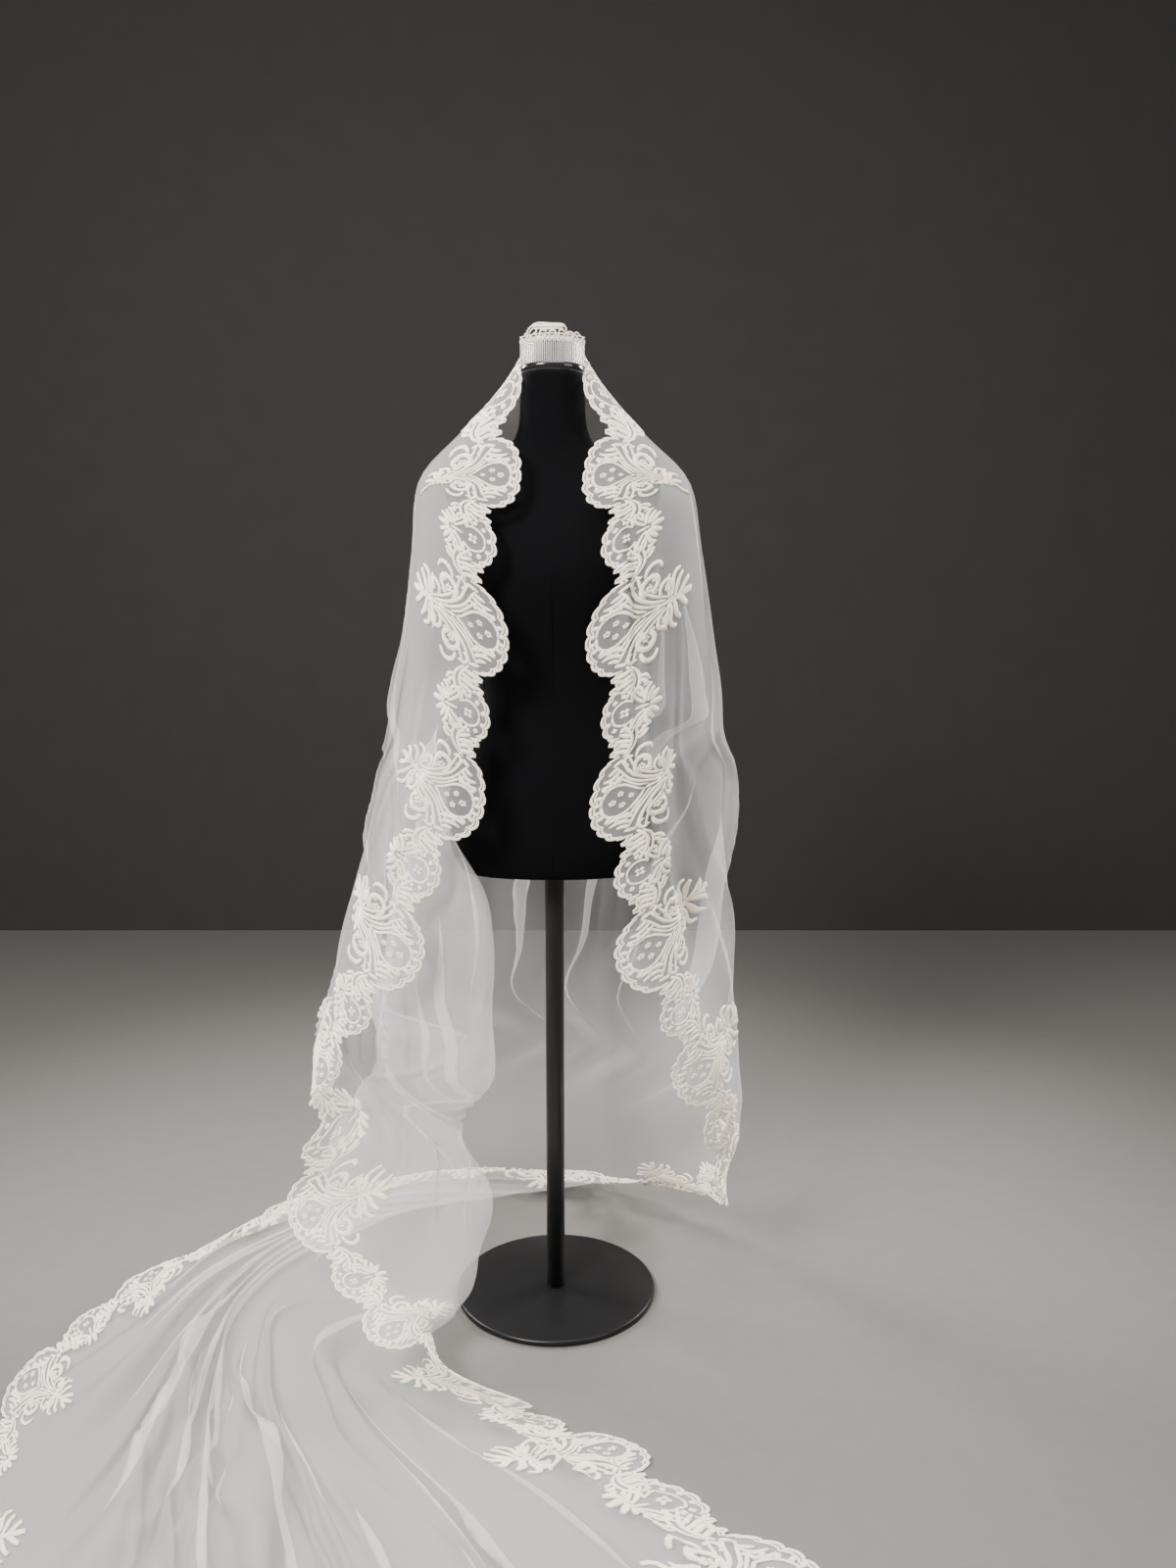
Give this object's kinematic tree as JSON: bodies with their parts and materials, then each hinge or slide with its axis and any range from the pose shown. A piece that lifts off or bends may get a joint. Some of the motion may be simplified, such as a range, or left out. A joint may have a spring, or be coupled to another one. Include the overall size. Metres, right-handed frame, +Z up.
{
  "type": "bridal veil on a dress form",
  "caption": "Long sheer wedding veil with a scalloped lace border and a clear hair comb, draped open over a black limbless dress form, its train swept round over the floor.",
  "frame": {"origin": "centre of the stand's round base, on the floor", "axes": "+Z up along the form's axis, -Y out of the veil's open front, +X to the side of its right front edge as seen from the front"},
  "size_m": [1.1852, 1.6393, 1.5597],
  "materials": {
    "tulle": "sheer net",
    "lace": "cotton and rayon lace, matt",
    "comb_plastic": "clear, glossy",
    "form_jersey": "black stretch jersey",
    "form_cap": "black gloss lacquer",
    "stand_steel": "black semi-gloss"
  },
  "bodies": {
    "root": {"veil_tulle": "tulle", "lace_comb": "lace", "lace_left_front": "lace", "lace_left_train": "lace", "lace_right_front": "lace", "lace_right_train": "lace", "lace_train_end": "lace", "veil_comb": "comb_plastic", "form_torso": "form_jersey", "form_neck_cap": "form_cap", "form_pole": "stand_steel", "form_base": "stand_steel"}
  },
  "joints": []
}
